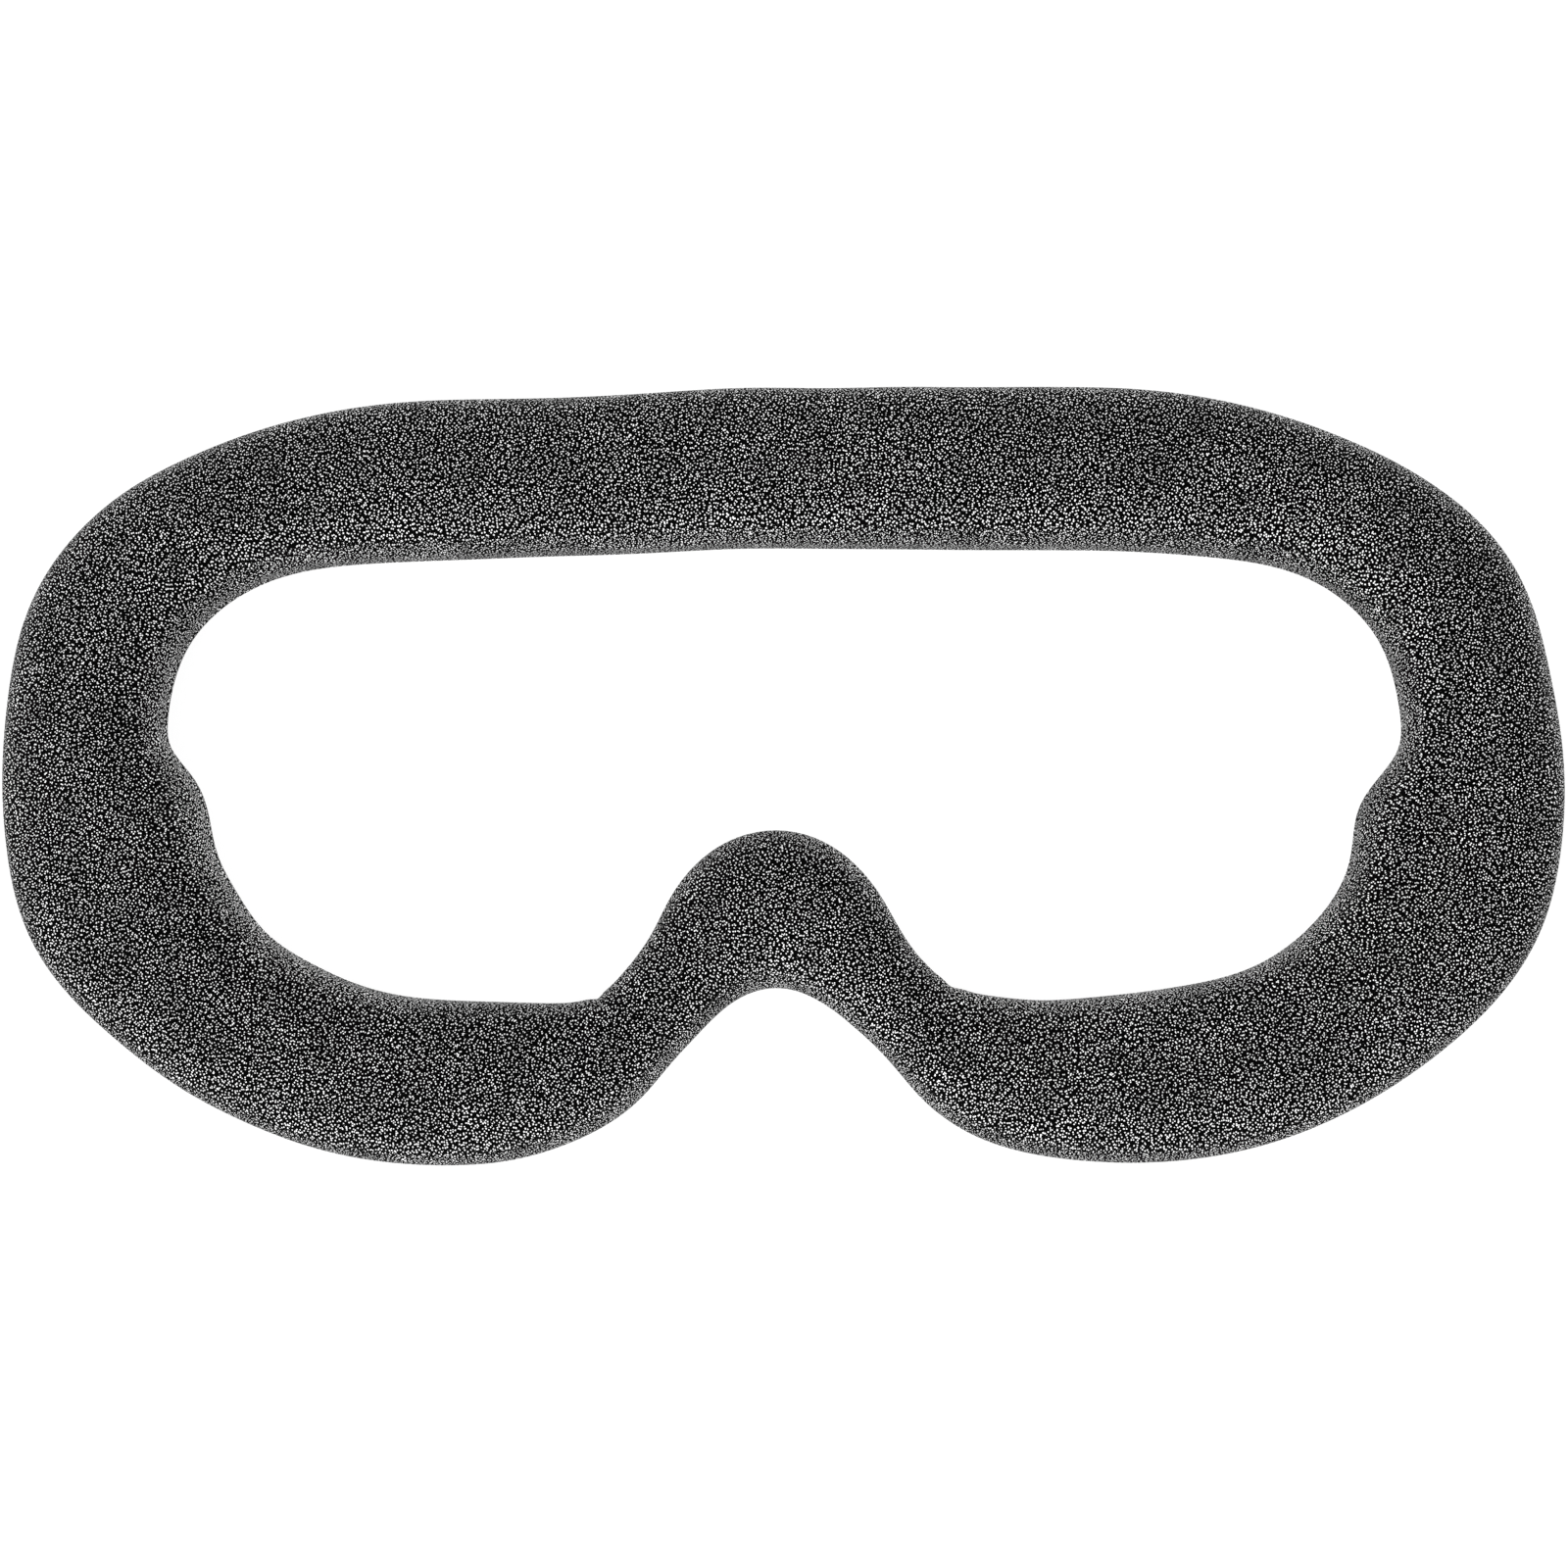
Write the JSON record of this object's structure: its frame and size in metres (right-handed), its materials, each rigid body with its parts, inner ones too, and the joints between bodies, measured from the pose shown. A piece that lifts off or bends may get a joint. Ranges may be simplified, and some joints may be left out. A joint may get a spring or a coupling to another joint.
{
  "type": "goggle face pad",
  "caption": "Soft fabric-covered foam ring that cushions the face round both eyes, with a nose arch and a loop-fabric back.",
  "frame": {"origin": "on the back face of the loop lining, under the middle of the pad's bounding box", "axes": "+Z out of the pad towards the face; +Y up the face towards the brow; X across the face, and the outline is symmetric about the plane X = 0"},
  "size_m": [0.18, 0.0898, 0.014],
  "materials": {
    "cover_knit": "brushed polyester knit, short dense nap, charcoal",
    "foam": null,
    "loop_fabric": "brushed nylon loop fabric, black",
    "bond_film": "hot-melt adhesive film, cloudy and soft"
  },
  "bodies": {
    "root": {"face_cover": "cover_knit", "cover_bond_film": "bond_film", "foam_core": "foam", "back_bond_film": "bond_film", "loop_lining": "loop_fabric"}
  },
  "joints": []
}
